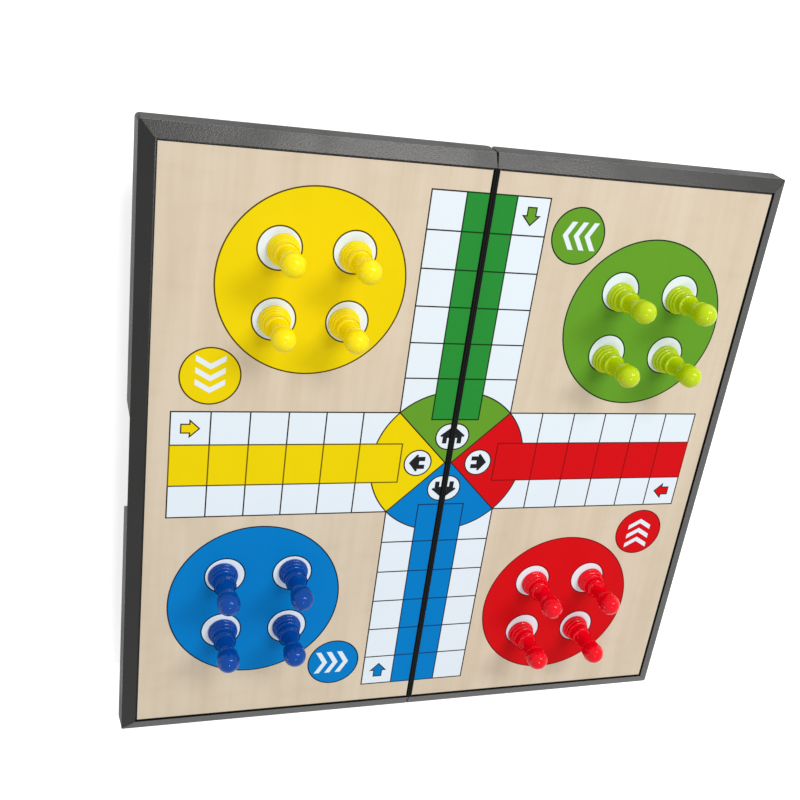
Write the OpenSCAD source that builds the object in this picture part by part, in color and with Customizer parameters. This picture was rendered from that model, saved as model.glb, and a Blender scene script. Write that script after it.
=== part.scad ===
// Folding ludo board box, lying open with its playing faces up.
// X runs across the seam, Y along it and Z up. The origin is on the table, under the middle of the seam.

/* [Playing sheets] */
// Width of one printed sheet, from the seam outwards
sheet_w = 117; // [90:1:150]
// Length of both printed sheets, along the seam
sheet_l = 235; // [200:1:300]
// Thickness of a printed sheet
sheet_t = 0.25; // [0.15:0.05:0.5]
// Thickness of the steel plate under a sheet
plate_t = 0.35; // [0.25:0.05:0.6]
// Gap round a sheet, inside its frame
sheet_gap = 0.5; // [0.2:0.05:0.7]

/* [Box halves] */
// Height of the playing face above the table, which is the thickness of one half
half_h = 10; // [9:0.5:14]
// Thickness of the moulding under the steel plate
skin_t = 1.3; // [1:0.1:2]
// Thickness of the outer walls at the rim
wall_t = 2.2; // [1.8:0.1:3]
// How far the outer walls lean out between the bezel and the rim
wall_flare = 0.85; // [0:0.05:1.2]
// Radius of the upright corners away from the seam
corner_r = 1.6; // [1.5:0.1:5]
// Radius of the upright corners at the seam
seam_corner_r = 0.4; // [0.3:0.1:1.2]
// Thickness of the wall along the seam
seam_wall_t = 3; // [2.5:0.1:4]
// Width of the plain rim between a sheet's recess and the seam
seam_rim = 0.75; // [0.6:0.05:1.5]
// Gap between the two halves when the board lies open
seam_gap = 0.2; // [0.1:0.05:0.3]
// Gap between the two rims when the board is folded
fold_gap = 0.1; // [0.05:0.05:0.3]

/* [Bezel] */
// Width of the sloping bezel, from the sheet's recess outwards
bezel_w = 5.3; // [4:0.05:8]
// How far the bezel slopes down over its width
bezel_drop = 2.6; // [1.5:0.05:3]
// How far the bezel's inner edge stands above the sheet
bezel_rise = 0.45; // [0.1:0.05:0.6]
// Height of the bezel's upright outer edge
bezel_edge = 0.55; // [0.3:0.05:1]
// Depth and height of the fine groove under the bezel's edge
groove = 0.35; // [0.2:0.05:0.5]

/* [Finger notches] */
// Length of a finger notch at the rim
notch_l = 44; // [30:1:60]
// How much shorter the notch is at its roof, at each end
notch_slant = 4; // [0:0.5:8]
// How far a finger reaches into the notch before its back wall
notch_reach = 9; // [6:0.5:14]
// Thickness of the notch's back and end walls
notch_wall_t = 1.5; // [1.2:0.1:2.5]

/* [Stiffening ribs] */
// Number of ribs across each half
rib_count = 3; // [1:1:5]
// Thickness of a rib
rib_t = 1.2; // [0.8:0.1:2]
// How far a rib stands down into the storage space
rib_h = 1.5; // [1:0.1:2.5]

/* [Hinges] */
// Distance of each pin's axis from the middle of the seam
pin_x = 2.2; // [2:0.1:2.8]
// Diameter of a hinge pin
pin_d = 1.5; // [1.2:0.1:1.8]
// Running clearance round a pin in its link
pin_clearance = 0.05; // [0.02:0.01:0.1]
// Radius of a link round its pins
link_r = 1.8; // [1.5:0.05:2.1]
// Length of a link along the seam
link_l = 30; // [16:1:40]
// Distance of each link's middle from the middle of the board
link_y = 70; // [50:1:90]
// Clearance between a link and the pocket that it lies in
pocket_clearance = 0.3; // [0.2:0.05:0.5]
// Thickness of the pocket's back wall
pocket_wall_t = 1.5; // [1.2:0.1:2.5]
// Length of the solid block at each end of a pocket, which holds the pin
pin_block_l = 7; // [5:0.5:10]
// How far a pin's end lies inside its block
pin_inset = 0.8; // [0.5:0.1:1.5]

/* [Closing magnets] */
// Diameter of a closing magnet
clasp_d = 5; // [4:0.5:6]
// Height of a closing magnet
clasp_h = 4; // [3:0.5:6]
// Wall of the boss round a closing magnet
clasp_boss_t = 1.5; // [1.2:0.1:2.5]
// Distance of each closing magnet from the middle of the outer wall
clasp_y = 45; // [36:1:80]
// How deep a closing magnet lies below the face of its boss
clasp_recess = 0.15; // [0.1:0.05:0.3]

/* [Pawns] */
// Diameter of a pawn's foot
pawn_d = 11.8; // [11:0.1:14]
// Number of rounded steps that the foot rises in
pawn_steps = 3; // [2:1:4]
// Height of one step of the foot
pawn_step_h = 1.5; // [1.2:0.05:1.5]
// How much narrower each step is than the one below, at the side
pawn_step_in = 0.5; // [0.3:0.05:0.5]
// Diameter of the collar above the steps
collar_d = 8.8; // [8:0.1:9]
// Height of the collar's top
collar_top = 8; // [7.5:0.1:9]
// Depth of the hollow round the collar
collar_hollow = 0.3; // [0.1:0.05:0.5]
// Diameter of the neck at its middle
neck_d = 6; // [4.8:0.1:6.4]
// How much the neck widens in radius towards each end
neck_flare = 0.5; // [0.2:0.05:0.7]
// Height of the head's flat underside
neck_top = 15.4; // [14:0.1:16]
// Diameter of the lip under the head
lip_d = 8.1; // [7.6:0.1:8.6]
// Diameter of the head
head_d = 8.8; // [8.6:0.1:10]
// Height of a pawn
pawn_h = 23.8; // [23.4:0.1:28]
// Diameter of the disc magnet in a pawn's foot
disc_d = 8; // [6:0.5:9]
// Thickness of the disc magnet
disc_h = 2; // [1.5:0.1:3]
// How deep the disc magnet lies below the foot's face
disc_recess = 0.1; // [0.05:0.05:0.3]

/* [Pawn places] */
// Distance between the printed spots of one set, along X and along Y
spot_pitch = 26.6; // [22:0.1:30]
// Middle of a set of spots from the sheet's edge on its far side
set_far = 55.7; // [50:0.1:62]
// Middle of a set of spots from the sheet's edge on its near side
set_near = 45; // [40:0.1:50]

/* [Hidden] */
$fn = 48;
eps = 0.01;

SIDES = ["left", "right"];
COLOURS = ["yellow", "lime", "blue", "red"];

// How far each loose pawn stands from the middle of its spot: back left, back right, front left, front right
yellow_shift = [[1.5, -2], [1, -3], [0.5, -1.5], [-0.5, -1.5]];
lime_shift = [[1, -2.5], [1, -2.5], [0.5, -2], [1.5, -1.5]];
blue_shift = [[-0.5, -0.5], [1, 0], [1, -0.5], [0.5, 0]];
red_shift = [[1, -1], [2, -1], [-0.5, -1], [0, 0]];

function pawn_name(colour, i) = str(colour, "_pawn_", i + 1);
function magnet_name(colour, i) = str(colour, "_pawn_magnet_", i + 1);
function per_side(word) = [for (s = SIDES) str(s, "_", word)];

// Heights
recess_z = half_h - sheet_t - plate_t;
ceiling_z = recess_z - skin_t;
bezel_top_z = half_h + bezel_rise;
bezel_low_z = bezel_top_z - bezel_drop;
bezel_edge_z = bezel_low_z - bezel_edge;
wall_top_z = bezel_edge_z - groove;

// Plan of one half, for X pointing from the seam outwards
seam_x = seam_gap / 2;
recess_in_x = seam_x + seam_rim;
sheet_in_x = recess_in_x + sheet_gap;
sheet_out_x = sheet_in_x + sheet_w;
recess_out_x = sheet_out_x + sheet_gap;
recess_y = sheet_l / 2 + sheet_gap;
bezel_x = recess_out_x + bezel_w;
bezel_y = recess_y + bezel_w;
rim_x = bezel_x + wall_flare;
rim_y = bezel_y + wall_flare;
store_in_x = seam_x + seam_wall_t;
store_out_x = rim_x - wall_t;
store_y = rim_y - wall_t;
store_r = max(corner_r - wall_t, 1);

// Finger notch
notch_in_x = bezel_x - notch_reach;
notch_roof_l = notch_l - 2 * notch_slant;
notch_box_x = notch_in_x - notch_wall_t;
notch_box_y = notch_l / 2 + notch_wall_t;

// Hinges
pin_z = pin_x - fold_gap / 2;
pin_r = pin_d / 2;
pocket_x = pin_x + link_r + pocket_clearance;
pocket_z = pin_z + link_r + pocket_clearance;
pocket_l = link_l + 2 * pocket_clearance;
block_x = pocket_x + pocket_wall_t;
block_l = pocket_l + 2 * pin_block_l;

// Closing magnets
clasp_boss_r = clasp_d / 2 + clasp_boss_t;
clasp_x = store_out_x - clasp_d / 2;

// Pawns
pawn_r = pawn_d / 2;
head_r = head_d / 2;
head_mid = pawn_h - head_r;
foot_round = 0.45;
foot_chamfer = 0.15;
steps_top = pawn_steps * pawn_step_h;
collar_r = collar_d / 2;
lip_r = lip_d / 2;
lip_round = 0.2;
lip_h = 0.7;
head_start = -acos((lip_r - 0.1) / head_r);
head_stretch = (head_mid - neck_top - lip_h) / (-head_r * sin(head_start));

// Middle of each set of spots: back left, back right, front left, front right, as in COLOURS
seam_to_far = sheet_in_x + sheet_w - set_far;
seam_to_near = sheet_in_x + sheet_w - set_near;
SETS = [
    [-seam_to_far, sheet_l / 2 - set_near],
    [seam_to_near, sheet_l / 2 - set_far],
    [-seam_to_near, set_far - sheet_l / 2],
    [seam_to_far, set_near - sheet_l / 2]
];
SHIFTS = [yellow_shift, lime_shift, blue_shift, red_shift];
SPOTS = [[-1, 1], [1, 1], [-1, -1], [1, -1]];
function pawn_at(set, i) = SETS[set] + SPOTS[i] * spot_pitch / 2 + SHIFTS[set][i];

// Points of an arc in a plane, from one angle to the other
function arc(x, y, r, from, to, steps = 6) =
    [for (i = [0:steps]) let (a = from + (to - from) * i / steps) [x + r * cos(a), y + r * sin(a)]];

// Block between two corners with upright rounded corners of radius r
module rounded_block(low, high, r) {
    translate([low.x + r, low.y, low.z]) cube([high.x - low.x - 2 * r, high.y - low.y, high.z - low.z]);
    translate([low.x, low.y + r, low.z]) cube([high.x - low.x, high.y - low.y - 2 * r, high.z - low.z]);
    for (x = [low.x + r, high.x - r], y = [low.y + r, high.y - r])
        translate([x, y, low.z]) cylinder(r = r, h = high.z - low.z);
}

// Thin slice of a half at one height: its outer edge at x and +-y, its corners rounded
module half_slice(x, y, z, r_out, r_seam) {
    for (side = [-1, 1]) {
        translate([x - r_out, side * (y - r_out), z]) cylinder(r = r_out, h = eps, $fn = 32);
        translate([seam_x + r_seam, side * (y - r_seam), z]) cylinder(r = r_seam, h = eps, $fn = 32);
    }
}

// Sloping bezel with its upright edge, as one solid over the whole half
module bezel_block() {
    hull() {
        half_slice(bezel_x, bezel_y, bezel_edge_z, corner_r - wall_flare, seam_corner_r);
        half_slice(bezel_x, bezel_y, bezel_low_z - eps, corner_r - wall_flare, seam_corner_r);
        translate([seam_x, -recess_y, bezel_top_z - eps]) cube([recess_out_x - seam_x, 2 * recess_y, eps]);
    }
}

// Side walls, leaning out towards the rim, as one solid over the whole half
module wall_block() {
    hull() {
        half_slice(rim_x, rim_y, 0, corner_r, seam_corner_r);
        half_slice(bezel_x, bezel_y, wall_top_z - eps, corner_r - wall_flare, seam_corner_r);
    }
}

// Narrower neck that leaves a fine groove between the bezel and the walls
module groove_block() {
    rounded_block(
        [seam_x, groove - bezel_y, wall_top_z - eps],
        [bezel_x - groove, bezel_y - groove, bezel_edge_z + eps],
        seam_corner_r
    );
}

// Everything along the seam that a half may not hold as it turns about its pin's axis
module seam_edge_cut() {
    difference() {
        translate([seam_x - 1, -rim_y - 1, -1]) cube([pin_x - seam_x + 1, 2 * rim_y + 2, pin_z + 1]);
        translate([pin_x, rim_y + 2, pin_z]) rotate([90, 0, 0]) cylinder(r = pin_z, h = 2 * rim_y + 4);
    }
}

// Storage space of one half, with its ribs, finger notch, hinge blocks and magnet bosses left standing
module storage_cut() {
    difference() {
        rounded_block([store_in_x, -store_y, -1], [store_out_x, store_y, ceiling_z], store_r);
        for (i = [1:rib_count]) {
            rib_y = -store_y + i * 2 * store_y / (rib_count + 1);
            translate([0, rib_y - rib_t / 2, ceiling_z - rib_h]) cube([rim_x, rib_t, rib_h + 1]);
        }
        translate([notch_box_x, -notch_box_y, -2]) cube([rim_x, 2 * notch_box_y, half_h + 2]);
        for (y = [-link_y, link_y])
            translate([0, y - block_l / 2, -2]) cube([block_x, block_l, half_h + 2]);
        for (y = [-clasp_y, clasp_y])
            translate([clasp_x, y, -2]) cylinder(r = clasp_boss_r, h = half_h + 2);
    }
}

// Finger notch: an opening through the outer wall with slanted ends, up to the bezel
module notch_cut() {
    translate([notch_in_x, 0, 0])
        rotate([90, 0, 90])
            linear_extrude(height = rim_x)
                polygon([
                    [-notch_l / 2, -1],
                    [notch_l / 2, -1],
                    [notch_l / 2, 0],
                    [notch_roof_l / 2, bezel_edge_z],
                    [-notch_roof_l / 2, bezel_edge_z],
                    [-notch_l / 2, 0]
                ]);
}

// Pocket that a hinge link lies in, and the bore of its pin
module hinge_cut(y) {
    translate([-1, y - pocket_l / 2, -1]) cube([pocket_x + 1, pocket_l, pocket_z + 1]);
    translate([pin_x, y + block_l / 2 + 1, pin_z]) rotate([90, 0, 0]) cylinder(r = pin_r, h = block_l + 2);
}

// One half of the box, for X pointing from the seam outwards
module tray_half() {
    difference() {
        union() {
            bezel_block();
            groove_block();
            wall_block();
        }
        translate([recess_in_x, -recess_y, recess_z])
            cube([recess_out_x - recess_in_x, 2 * recess_y, half_h]);
        storage_cut();
        notch_cut();
        seam_edge_cut();
        for (y = [-link_y, link_y])
            hinge_cut(y);
        for (y = [-clasp_y, clasp_y])
            translate([clasp_x, y, -1]) cylinder(d = clasp_d, h = 1 + clasp_recess + clasp_h);
    }
}

// Flat sheet or plate of one half at a height
module flat_half(z, t) {
    translate([sheet_in_x, -sheet_l / 2, z]) cube([sheet_w, sheet_l, t]);
}

module pins_half() {
    for (y = [-link_y, link_y])
        translate([pin_x, y + block_l / 2 - pin_inset, pin_z])
            rotate([90, 0, 0]) cylinder(d = pin_d, h = block_l - 2 * pin_inset);
}

module clasps_half() {
    for (y = [-clasp_y, clasp_y])
        translate([clasp_x, y, clasp_recess]) cylinder(d = clasp_d, h = clasp_h);
}

// Places a half's pieces on the left or the right of the seam
module on_side(side) {
    if (side == "left") mirror([1, 0, 0]) children();
    else children();
}

// Link that joins two pins across the seam
module hinge_link(y) {
    color("dimgray")
        translate([0, y + link_l / 2, pin_z]) rotate([90, 0, 0])
            difference() {
                union() {
                    for (x = [-pin_x, pin_x])
                        translate([x, 0, 0]) cylinder(r = link_r, h = link_l);
                    translate([-pin_x, -link_r, 0]) cube([2 * pin_x, 2 * link_r, link_l]);
                }
                for (x = [-pin_x, pin_x])
                    translate([x, 0, -1]) cylinder(r = pin_r + pin_clearance, h = link_l + 2);
            }
}

// Half outline of a pawn: a foot of rounded steps, a hollowed collar, a waisted neck and a head with a lip
function step_points(i) =
    let (r = pawn_r - i * pawn_step_in, low = i * pawn_step_h, top = low + pawn_step_h)
    concat([[r, low + foot_chamfer]], arc(r - foot_round, top - foot_round, foot_round, 0, 90, 4));
function collar_side(t) = [
    collar_r - collar_hollow * 4 * t * (1 - t),
    steps_top + (collar_top - foot_round - steps_top) * t
];
function waist(t) = [
    neck_d / 2 + neck_flare * pow(2 * t - 1, 2),
    collar_top + (neck_top - collar_top) * t
];
function head_side(t) =
    let (a = head_start + (84 - head_start) * t)
    [head_r * cos(a), head_mid + head_r * sin(a) * (a < 0 ? head_stretch : 1)];
PAWN_OUTLINE = concat(
    [[0, 0], [pawn_r - foot_chamfer, 0]],
    [for (i = [0:pawn_steps - 1]) each step_points(i)],
    [for (i = [0:6]) collar_side(i / 6)],
    arc(collar_r - foot_round, collar_top - foot_round, foot_round, 18, 90, 4),
    [for (i = [0:8]) waist(i / 8)],
    arc(lip_r - lip_round, neck_top + lip_round, lip_round, -90, 0, 3),
    [[lip_r, neck_top + lip_h - 0.1]],
    [for (i = [0:17]) head_side(i / 17)],
    [[0, pawn_h]]
);

module pawn(set, i, hue) {
    at = pawn_at(set, i);
    color(hue)
        translate([at.x, at.y, half_h])
            difference() {
                rotate_extrude() polygon(PAWN_OUTLINE);
                translate([0, 0, -1]) cylinder(d = disc_d, h = 1 + disc_recess + disc_h);
            }
}

module pawn_magnet(set, i) {
    at = pawn_at(set, i);
    color("silver") translate([at.x, at.y, half_h + disc_recess]) cylinder(d = disc_d, h = disc_h);
}

HUES = ["gold", "yellowgreen", "navy", "crimson"];

for (side = SIDES) {
    color("dimgray") on_side(side) tray_half();
    color("silver") on_side(side) flat_half(recess_z, plate_t);
    color("wheat") on_side(side) flat_half(recess_z + plate_t, sheet_t);
    color("silver") on_side(side) pins_half();
    color("silver") on_side(side) clasps_half();
}
hinge_link(-link_y);  // front_hinge_link
hinge_link(link_y);  // rear_hinge_link
for (set = [0:3], i = [0:3]) {
    pawn(set, i, HUES[set]);
    pawn_magnet(set, i);
}
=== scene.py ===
"""Finished look of a folding ludo board box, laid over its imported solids.

The board lies open over a pale floor. X runs across the seam, Y along it and Z up, in metres.
"""

import logging
import math
from collections.abc import Callable, Iterable, Sequence
from dataclasses import dataclass, field
from enum import Enum

import bmesh
import bpy
from bmesh.types import BMesh, BMFace
from bpy.types import ID, Material, Mesh, Node, NodeSocket, NodeTree, Object
from mathutils import Matrix, Vector


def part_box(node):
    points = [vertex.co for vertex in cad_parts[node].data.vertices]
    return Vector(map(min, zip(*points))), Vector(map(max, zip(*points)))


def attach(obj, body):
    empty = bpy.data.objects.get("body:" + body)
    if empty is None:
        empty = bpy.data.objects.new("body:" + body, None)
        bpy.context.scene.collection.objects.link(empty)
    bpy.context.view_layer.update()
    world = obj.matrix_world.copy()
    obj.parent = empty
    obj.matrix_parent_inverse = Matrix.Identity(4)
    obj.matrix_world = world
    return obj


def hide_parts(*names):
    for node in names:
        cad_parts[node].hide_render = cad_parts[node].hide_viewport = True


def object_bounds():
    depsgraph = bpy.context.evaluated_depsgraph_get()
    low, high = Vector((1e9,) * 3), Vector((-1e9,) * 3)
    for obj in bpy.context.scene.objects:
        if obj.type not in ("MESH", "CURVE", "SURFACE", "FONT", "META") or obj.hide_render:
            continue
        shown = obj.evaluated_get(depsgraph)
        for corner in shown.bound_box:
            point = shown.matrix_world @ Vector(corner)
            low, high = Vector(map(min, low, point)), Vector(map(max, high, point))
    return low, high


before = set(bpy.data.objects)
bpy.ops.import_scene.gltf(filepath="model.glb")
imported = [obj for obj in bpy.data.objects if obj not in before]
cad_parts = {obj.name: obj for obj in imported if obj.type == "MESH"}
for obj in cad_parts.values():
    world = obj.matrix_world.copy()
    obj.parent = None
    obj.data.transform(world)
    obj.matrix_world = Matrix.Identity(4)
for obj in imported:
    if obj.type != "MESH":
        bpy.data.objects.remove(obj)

LOG = logging.getLogger("ludo_board")
MM = 0.001
SIDES = ("left", "right")
CAD_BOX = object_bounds()
# Room for the ink under a sheet's top, height of one layer of it, and width of the dark band of painted shade
# along a sheet's outer edges, where it meets the bezel, all in mm.
INK_ROOM = 0.065
INK_STEP = 0.005
GAP_SHADE_WIDTH = 0.3
# Distance in metres at which a solid's corners are merged, and degrees up to which its facets count as one face.
WELD = 2e-7
FLAT = 0.4

Point = tuple[float, float]
Triple = tuple[float, float, float]
Colour = tuple[float, float, float, float]
Inputs = dict[str | int, object]

WHITE: Colour = (1.0, 1.0, 1.0, 1.0)


def linear(code: str) -> Colour:
    """Turn a colour's six hexadecimal digits, as it is printed, into opaque linear light."""
    parts = [int(code[i : i + 2], 16) / 255 for i in (0, 2, 4)]
    return (*(c / 12.92 if c <= 0.04045 else ((c + 0.055) / 1.055) ** 2.4 for c in parts), 1.0)


class Team(Enum):
    """The four colours of the game, clockwise from the left arm of the track."""

    YELLOW = 0
    LIME = 1
    RED = 2
    BLUE = 3

    @property
    def word(self) -> str:
        """Name of the colour as the pieces use it."""
        return self.name.lower()


# ---- Node trees ----


class Graph:
    """Adds nodes and links to one node tree."""

    def __init__(self, tree: NodeTree) -> None:
        """Work on a shader or geometry tree."""
        self.tree = tree

    def add(self, kind: str, inputs: Inputs | None = None, **settings: object) -> Node:
        """Add a node.

        Args:
            kind: Type name of the node.
            inputs: Value or socket for each input, by its name or number.
            **settings: Properties of the node.

        Returns:
            The new node.
        """
        node = self.tree.nodes.new(kind)
        for key, value in settings.items():
            setattr(node, key, value)
        for key, value in (inputs or {}).items():
            if isinstance(value, NodeSocket):
                self.tree.links.new(value, node.inputs[key])
            else:
                node.inputs[key].default_value = value
        return node

    def math(self, operation: str, *values: object) -> NodeSocket:
        """Combine numbers or sockets by a named operation."""
        return self.add("ShaderNodeMath", dict(enumerate(values)), operation=operation).outputs[0]

    def ramp(self, value: NodeSocket, low: float, high: float) -> NodeSocket:
        """Stretch the span from low to high over 0 to 1, with soft ends."""
        span = {"Value": value, "From Min": low, "From Max": high}
        return self.add("ShaderNodeMapRange", span, interpolation_type="SMOOTHSTEP").outputs[0]

    def noise(self, vector: NodeSocket, scale: object, detail: float) -> NodeSocket:
        """Add a noise texture of a fineness and a number of octaves."""
        return self.add("ShaderNodeTexNoise", {"Vector": vector, "Scale": scale, "Detail": detail}).outputs[0]

    def streaks(self, vector: NodeSocket, scale: Triple, fine: float, detail: float) -> NodeSocket:
        """Add noise that is drawn out along the axes with small scales."""
        drawn = self.add("ShaderNodeMapping", {"Vector": vector, "Scale": scale}).outputs[0]
        return self.noise(drawn, fine, detail)

    def cells(self, vector: NodeSocket, scale: object, random: float, feature: str) -> NodeSocket:
        """Add the distances of a cell texture."""
        inputs = {"Vector": vector, "Scale": scale, "Randomness": random}
        return self.add("ShaderNodeTexVoronoi", inputs, feature=feature).outputs["Distance"]

    def blend(self, factor: object, first: object, second: object, mode: str = "MIX") -> NodeSocket:
        """Mix two colours, by the share of the second."""
        inputs = {0: factor, 6: first, 7: second}
        return self.add("ShaderNodeMix", inputs, data_type="RGBA", blend_type=mode).outputs[2]


def emptied(holder: ID) -> Graph:
    """Clear the nodes of a material or a world.

    Args:
        holder: Material or world.

    Returns:
        The graph of its node tree.
    """
    holder.use_nodes = True
    holder.node_tree.nodes.clear()
    return Graph(holder.node_tree)


def add_sockets(tree: NodeTree, way: str, kinds: dict[str, str]) -> dict[str, str]:
    """Give a tree its named inputs or outputs.

    Args:
        tree: Tree that gets them.
        way: INPUT or OUTPUT.
        kinds: Type of socket for each name.

    Returns:
        The identifier of each socket, by its name.
    """
    sockets = {}
    for name, kind in kinds.items():
        made = tree.interface.new_socket(name=name, in_out=way, socket_type=f"NodeSocket{kind}")
        sockets[name] = made.identifier
    return sockets


class Effect(Enum):
    """Surface effects that several materials share, each a node group."""

    GRAIN = "moulding_grain"
    HANDLING = "handling_marks"
    BIRCH = "birch_print"
    INK = "ink_film"
    BRUSHED = "drawn_metal"


class Effects:
    """Builds each shared effect once and places it in materials."""

    INPUTS = {
        Effect.GRAIN: {"Scale": "Float"},
        Effect.HANDLING: {"Scale": "Float"},
        Effect.BIRCH: {"Light": "Color", "Dark": "Color"},
        Effect.INK: {"Ink": "Color", "Uneven": "Float"},
        Effect.BRUSHED: {"Scale": "Float"},
    }

    def __init__(self) -> None:
        """Build the groups."""
        recipes = {
            Effect.GRAIN: self._grain,
            Effect.HANDLING: self._handling,
            Effect.BIRCH: self._birch,
            Effect.INK: self._ink,
            Effect.BRUSHED: self._brushed,
        }
        self.groups = {}
        for effect, recipe in recipes.items():
            tree = bpy.data.node_groups.new(effect.value, "ShaderNodeTree")
            add_sockets(tree, "INPUT", {"Vector": "Vector", **self.INPUTS[effect]})
            graph = Graph(tree)
            results = recipe(graph, graph.add("NodeGroupInput").outputs)
            add_sockets(tree, "OUTPUT", {name: "Color" if name == "Color" else "Float" for name in results})
            graph.add("NodeGroupOutput", results)
            self.groups[effect] = tree

    @staticmethod
    def _grain(graph: Graph, given: dict[str, NodeSocket]) -> dict[str, NodeSocket]:
        """Draw the fine pebbled grain of an injection moulding.

        Args:
            graph: Graph of the group.
            given: The group's inputs.

        Returns:
            Its height and a mask of its duller patches.
        """
        vector, scale = given["Vector"], given["Scale"]
        pebbles = graph.cells(vector, scale, 1.0, "SMOOTH_F1")
        soft = graph.noise(vector, graph.math("MULTIPLY", scale, 0.45), 4.0)
        height = graph.math("ADD", graph.math("MULTIPLY", pebbles, 0.7), graph.math("MULTIPLY", soft, 0.5))
        mask = graph.ramp(graph.noise(vector, graph.math("MULTIPLY", scale, 0.2), 3.0), 0.35, 0.65)
        return {"Height": height, "Mask": mask}

    @staticmethod
    def _handling(graph: Graph, given: dict[str, NodeSocket]) -> dict[str, NodeSocket]:
        """Mark the wide soft smudges that handling leaves."""
        return {"Smudge": graph.ramp(graph.noise(given["Vector"], given["Scale"], 2.0), 0.42, 0.72)}

    @staticmethod
    def _birch(graph: Graph, given: dict[str, NodeSocket]) -> dict[str, NodeSocket]:
        """Draw pale birch with soft streaks along Y, fine fibres and a faint ripple across.

        Args:
            graph: Graph of the group.
            given: The group's inputs.

        Returns:
            Its colour, and the fibres' height.
        """
        vector = given["Vector"]
        broad = graph.ramp(graph.streaks(vector, (95.0, 11.0, 1.0), 1.0, 3.0), 0.3, 0.72)
        narrow = graph.ramp(graph.streaks(vector, (420.0, 17.0, 1.0), 1.0, 4.0), 0.3, 0.75)
        fibre = graph.streaks(vector, (3200.0, 130.0, 1.0), 1.0, 2.0)
        ripple = graph.ramp(graph.streaks(vector, (70.0, 150.0, 1.0), 1.0, 2.0), 0.45, 0.8)
        share = graph.math("MULTIPLY", broad, 0.42)
        for layer, weight in ((narrow, 0.18), (fibre, 0.12), (ripple, 0.2)):
            share = graph.math("ADD", share, graph.math("MULTIPLY", layer, weight))
        return {"Color": graph.blend(share, given["Light"], given["Dark"]), "Height": fibre}

    @staticmethod
    def _ink(graph: Graph, given: dict[str, NodeSocket]) -> dict[str, NodeSocket]:
        """Print a solid ink with a faint uneven film and a fine rosette of dots.

        Args:
            graph: Graph of the group.
            given: The group's inputs.

        Returns:
            Its colour, and the dots' height.
        """
        film = graph.ramp(graph.streaks(given["Vector"], (60.0, 24.0, 1.0), 1.0, 3.0), 0.25, 0.75)
        dots = graph.cells(given["Vector"], 5200.0, 0.15, "F1")
        mottle = graph.math("MULTIPLY", graph.math("ADD", film, graph.math("MULTIPLY", dots, 0.5)), 0.7)
        factor = graph.math("MULTIPLY", mottle, given["Uneven"])
        darker = graph.blend(1.0, given["Ink"], (0.72, 0.72, 0.72, 1.0), "MULTIPLY")
        return {"Color": graph.blend(factor, given["Ink"], darker), "Height": dots}

    @staticmethod
    def _brushed(graph: Graph, given: dict[str, NodeSocket]) -> dict[str, NodeSocket]:
        """Draw the fine lines of rolled or plated metal, and a mask of its dull patches."""
        height = graph.streaks(given["Vector"], (6000.0, 60.0, 6000.0), given["Scale"], 3.0)
        return {"Height": height, "Mask": graph.ramp(graph.noise(given["Vector"], 120.0, 3.0), 0.4, 0.7)}


# ---- Finishes ----


class Coat(Graph):
    """Graph of one material, with the shared effects laid on its piece's own coordinates."""

    def __init__(self, material: Material, effects: Effects) -> None:
        """Start on an empty material.

        Args:
            material: Material to dress.
            effects: Effects that the materials share.
        """
        super().__init__(emptied(material).tree)
        self.groups = effects.groups
        self.place = self.add("ShaderNodeTexCoord").outputs["Object"]

    def lay(self, effect: Effect, inputs: Inputs) -> dict[str, NodeSocket]:
        """Lay a shared effect, and give its results by name."""
        return self.add("ShaderNodeGroup", {"Vector": self.place, **inputs}, node_tree=self.groups[effect]).outputs


@dataclass
class Surface:
    """What a finish gives its shader.

    Attributes:
        colour: Colour of the surface.
        mask: Mask from 0 to 1, and the roughness that it adds.
        relief: Height map, and its depth in metres.
        inputs: Value for each further input of the shader.
    """

    colour: NodeSocket
    mask: tuple[NodeSocket, float]
    relief: tuple[NodeSocket, float]
    inputs: Inputs


@dataclass(frozen=True)
class Finish:
    """A finish that becomes one material.

    Attributes:
        name: Name of the material.
        colour: Main colour as six hexadecimal digits.
        roughness: Roughness of the clean surface.
    """

    name: str
    colour: str
    roughness: float

    def _surface(self, coat: Coat) -> Surface:
        """Give the shader what this finish looks like; each kind of finish has its own."""
        raise NotImplementedError

    def build(self, effects: Effects) -> Material:
        """Build the material.

        Args:
            effects: Effects that the materials share.

        Returns:
            The finished material.
        """
        material = bpy.data.materials.new(self.name)
        coat = Coat(material, effects)
        material.diffuse_color = linear(self.colour)
        surface = self._surface(coat)
        rough = coat.math("MULTIPLY_ADD", *surface.mask, self.roughness)
        height, depth = surface.relief
        bump = coat.add("ShaderNodeBump", {"Height": height, "Distance": depth, "Strength": 1.0})
        inputs = {"Base Color": surface.colour, "Roughness": rough, "Normal": bump.outputs[0], **surface.inputs}
        shader = coat.add("ShaderNodeBsdfPrincipled", inputs)
        shader.inputs["Roughness"].default_value = self.roughness
        coat.add("ShaderNodeOutputMaterial", {"Surface": shader.outputs[0]})
        return material


@dataclass(frozen=True)
class Moulding(Finish):
    """Dark grained plastic.

    Attributes:
        grain_scale: Fineness of the grain.
        grain_depth: Depth of the grain in metres.
        worn: Colour where handling has rubbed it.
        sheen: Strength of the reflections.
    """

    grain_scale: float = 2500.0
    grain_depth: float = 0.000048
    worn: str = "202020"
    sheen: float = 0.37

    def _surface(self, coat: Coat) -> Surface:
        """Grain the plastic and rub it here and there.

        Args:
            coat: Graph of the material.

        Returns:
            The surface of the plastic.
        """
        grain = coat.lay(Effect.GRAIN, {"Scale": self.grain_scale})
        smudge = coat.lay(Effect.HANDLING, {"Scale": 42.0})["Smudge"]
        share = coat.math("MULTIPLY_ADD", grain["Mask"], 0.1, coat.math("MULTIPLY", smudge, 0.22))
        colour = coat.blend(share, linear(self.colour), linear(self.worn))
        relief = (grain["Height"], self.grain_depth)
        return Surface(colour, (smudge, 0.07), relief, {"Specular IOR Level": self.sheen})


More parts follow.
